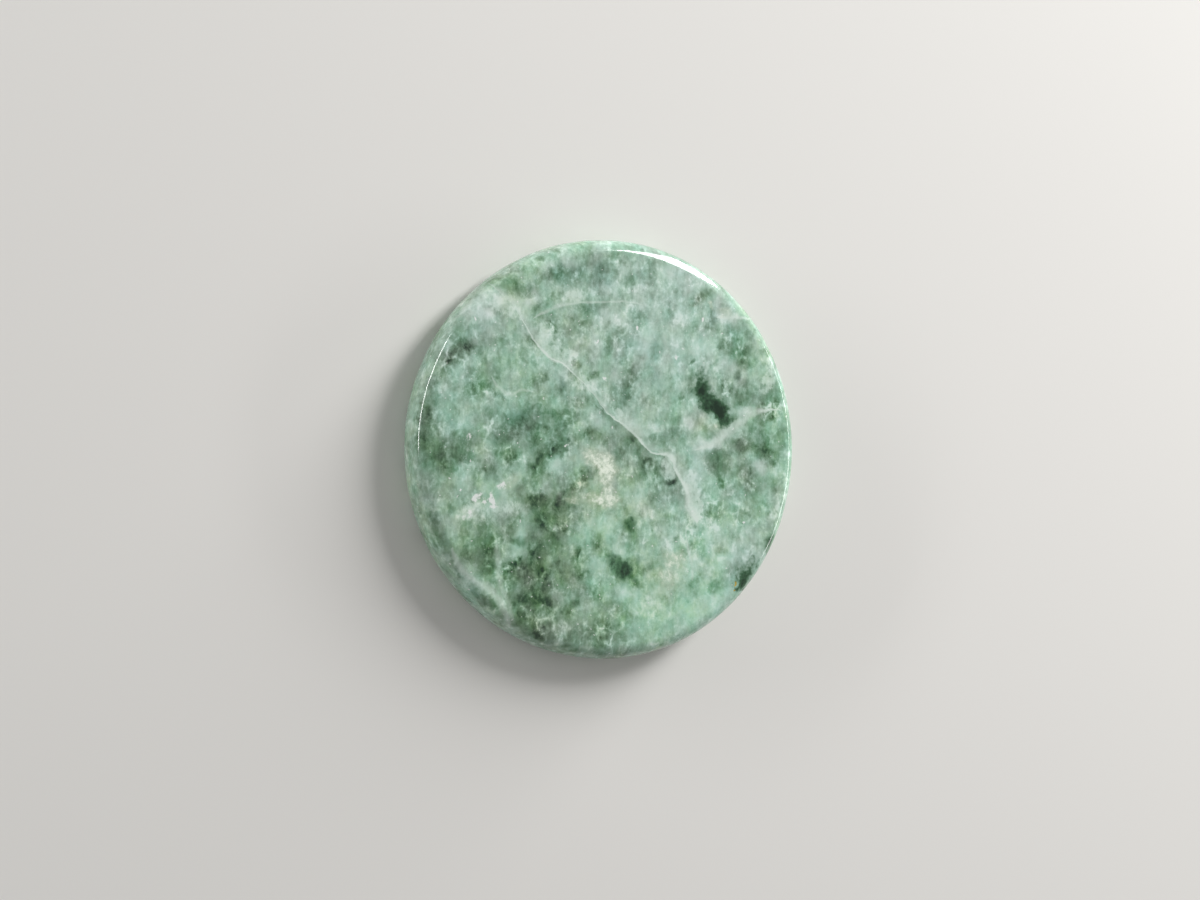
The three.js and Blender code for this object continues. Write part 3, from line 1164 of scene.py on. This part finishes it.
rich_noise = noise(felt, 2.0, detail=2.0)
richness = total(USUAL_RICHNESS, (weighed("richness"), 1.0), (rich_noise, 1.0))
colour = g.add("ShaderNodeHueSaturation", {"Saturation": richness, "Color": colour})
print(f"{len(GREENS)} greens between two tints")

# %% [markdown]
# ## Chalk and cream
#
# What isn't green is laid on it in thin coats. Veins and shards carry chalk, which the mottle
# makes thicker and thinner. Cream takes two coats: a weak warm one that tones the green down,
# and white in soft grains of under a millimetre, thickest in the middle of the cream.

# %% Pale coats
CHALK, CREAM_BASE, CREAM_WHITE = "#d3e2d8", "#b6c3a9", "#e8f1e1"
GRANULE = 0.7  # mm

chalk = larger(chalk, total(0.0, (shards, 0.35)))
chalk = total(0.0, (chalk, total(1.0, (mottle, 2.4))))
colour = coat(g.add("ShaderNodeClamp", {0: chalk}), colour, CHALK)

cream = cloud_sum(CREAM)
creamy = cut(cream, 0.0, 0.9)
granule_noise = noise(stone, GRANULE, detail=3.0, roughness=0.7)
granules = total(-0.35, (granule_noise, 4.5), (cream, 1.0), (mottle, 1.5))
colour = coat(total(0.0, (creamy, 0.45)), colour, CREAM_BASE)
colour = coat(total(0.0, (creamy, cut(granules, -0.1, 1.6))), colour, CREAM_WHITE)
print(f"{len(CREAM)} places of cream")

# %% [markdown]
# ## Sparks, rust and painted glints
#
# Sparks are the white of the crystal nest and of a few lone crystals. The nest is partly its
# crystals' own white and partly painted glints, and three lone dots are painted glints only.
# Rust is two yellow crumbs where iron stained the rim. The glints below are painted highlights
# too: white dots in the colour where single crystals would face the light. They are everywhere
# and have no table: noise so fine that only its peaks pass the cut leaves a dot of about a third
# of a millimetre here and there.

# %% Small bright things
SPARK_AND_GLINT_WHITE, RUST_YELLOW = "#e9ebe9", "#c8a63c"
GLINT = 0.33  # mm

# white crystals and threads; the nest is partly painted glints and three dots are wholly painted glints
colour = coat(total(0.0, (spots(SPARKS_AND_GLINTS, 0.35, 1.1), 0.85)), colour, SPARK_AND_GLINT_WHITE)
colour = coat(spots(RUST, 0.3, 0.9), colour, RUST_YELLOW)
# painted glints: white dots in the colour that stand in for crystals flashing in the light
painted_glints = cut(noise(stone, GLINT, detail=0.0), 0.30, 0.38)
colour = coat(total(0.0, (painted_glints, 0.6)), colour, SPARK_AND_GLINT_WHITE)
print(f"{len(SPARKS_AND_GLINTS)} places of sparks and {len(RUST)} crumbs of rust")

# %% [markdown]
# ## Flecks
#
# A fleck is almost black in the middle and green where it frays into the felt. Both come from
# one sum, feathered by mottle and grain: a low cut gives the fleck's outline, and a higher one
# tells its dark middle from its green edge. Away from the placed flecks the feathering alone
# must leave no mark, so it is multiplied by a third cut of the plain sum.

# %% Dark flecks
FLECK_GREEN, FLECK_DARK = "#426b4b", "#122c1b"

fleck = cloud_sum(FLECKS)
feathered = total(fleck, (grain, 1.6), (mottle, 2.4))
fleck_tone = coat(cut(feathered, 0.5, 1.9), FLECK_GREEN, FLECK_DARK)
near_a_fleck = cut(fleck, 0.0, 0.25)
fleck_outline = cut(total(0.0, (feathered, near_a_fleck)), 0.1, 1.1)
colour = coat(fleck_outline, colour, fleck_tone)
print(f"{len(FLECKS)} places in flecks")

# %% [markdown]
# ## The polish
#
# Jadeite is polished with diamond paste until it looks like glass. Its refractive index is 1.66,
# above that of glass, so it mirrors a lamp a little more strongly. Its crystals lie every way
# and don't all grind down alike, which keeps the mirror slightly soft: the roughness stays at
# 0.12, and a lamp shows as a bright line along the edge with a narrow glow on both sides.

# %% The polished surface
g.add(
    "ShaderNodeOutputMaterial",
    {
        "Surface": g.add(
            "ShaderNodeBsdfPrincipled",
            {"Base Color": colour, "Roughness": 0.12, "IOR": 1.66},
        )
    },
)
disc.data.materials.append(jade)
print(f"{len(g.tree.nodes)} nodes in {jade.name}")

# %% [markdown]
# ## The table
#
# The stone lies on a plain pale table. It is large enough that its edges never show, and it is
# matt, because a glossy one would mirror the stone and compete with it.

# %% Floor
FLOOR_SIZE = 8.0  # metres

half_floor = FLOOR_SIZE / 2
corners = [(x * half_floor, y * half_floor, 0) for x, y in ((-1, -1), (1, -1), (1, 1), (-1, 1))]
floor_mesh = bpy.data.meshes.new("floor")
floor_mesh.from_pydata(corners, [], [(0, 1, 2, 3)])
floor = bpy.data.objects.new("floor", floor_mesh)
bpy.context.scene.collection.objects.link(floor)

# Uncoated paper mirrors nothing and gives the eye only a soft shadow to stand the stone on.
paper = bpy.data.materials.new("matt white paper")
g = Graph(paper)
g.add(
    "ShaderNodeOutputMaterial",
    {"Surface": g.add("ShaderNodeBsdfPrincipled", {"Base Color": linear("#dcdad6"), "Roughness": 0.8})},
)
floor_mesh.materials.append(paper)
print(f"the table is {FLOOR_SIZE:.0f} m wide")

# %% [markdown]
# ## The camera
#
# A tilted disc shows as an ellipse. How narrow the ellipse is gives the tilt, once the side wall
# that shows on the left is taken off its width. The lens is long, as for any small thing that
# should keep its shape, and the distance follows from how many pixels a millimetre fills.

# %% Camera
PHOTO_WIDTH, PHOTO_HEIGHT = 1200, 900  # pixels
OUTLINE_MIDDLE = (603.7, 449.2)  # where the middle of the disc is in the photo, in pixels
PIXELS_PER_MM = 8.374
TILT = math.radians(25.0)  # between the disc's axis and the line of sight
TURN = math.radians(1.2)  # of that tilt, away from the disc's own X axis
LENS, SENSOR = 85.0, 36.0  # mm

centre = Vector((0, 0, thickness / 2)) * MM
back = Vector((-math.sin(TILT) * math.cos(TURN), -math.sin(TILT) * math.sin(TURN), math.cos(TILT)))
right = Vector((0, 1, 0)).cross(back).normalized()
up = back.cross(right)
distance = LENS / SENSOR * PHOTO_WIDTH / PIXELS_PER_MM
shift = right * (PHOTO_WIDTH / 2 - OUTLINE_MIDDLE[0]) + up * (OUTLINE_MIDDLE[1] - PHOTO_HEIGHT / 2)
place = centre + (back * distance + shift / PIXELS_PER_MM) * MM

camera = bpy.data.objects.new("camera", bpy.data.cameras.new("camera"))
bpy.context.scene.collection.objects.link(camera)
camera.data.lens = LENS
camera.data.sensor_width = SENSOR
camera.data.clip_start = 0.01
facing = Matrix((right, up, back)).transposed().to_4x4()
camera.matrix_world = Matrix.Translation(place) @ facing
bpy.context.scene.camera = camera
print(f"the camera stands {distance:.0f} mm away")

# %% [markdown]
# ## The lights
#
# A polished edge shows what it mirrors, so each lamp is chosen by the highlight that it leaves.
# A tall softbox at the upper right lights the face and draws the broad highlight there. A low
# strip at the left draws the thin line on the left edge, and a weaker one at the right lifts the
# rim from the table. A dim even room fills the shadows.

# %% Lights
ROOM_LIGHT = 0.30


def softbox(name, azimuth, elevation, away, width, height, power):
    """A rectangular light that faces the stone. Azimuth is counted from +X towards +Y, sizes are
    in metres and the power is in watts."""
    a, e = math.radians(azimuth), math.radians(elevation)
    direction = Vector((math.cos(a) * math.cos(e), math.sin(a) * math.cos(e), math.sin(e)))
    light = bpy.data.lights.new(name, "AREA")
    light.shape = "RECTANGLE"
    light.size, light.size_y = width, height
    light.energy = power
    lamp = bpy.data.objects.new(name, light)
    lamp.location = centre + direction * away
    lamp.rotation_mode = "QUATERNION"
    lamp.rotation_quaternion = direction.to_track_quat("Z", "Y")
    lamp.visible_camera = False
    bpy.context.scene.collection.objects.link(lamp)


softbox("key", 43, 25, 0.6, 0.15, 0.54, 5.0)
softbox("left_strip", 157, 12, 0.6, 0.5, 0.05, 1.4)
softbox("right_strip", 0, 15, 0.6, 0.4, 0.05, 0.7)

world = bpy.data.worlds.new("dim room")
world.use_nodes = True
world.node_tree.nodes["Background"].inputs["Color"].default_value = (*(ROOM_LIGHT,) * 3, 1.0)
bpy.context.scene.world = world
bpy.context.scene.view_settings.view_transform = "Standard"
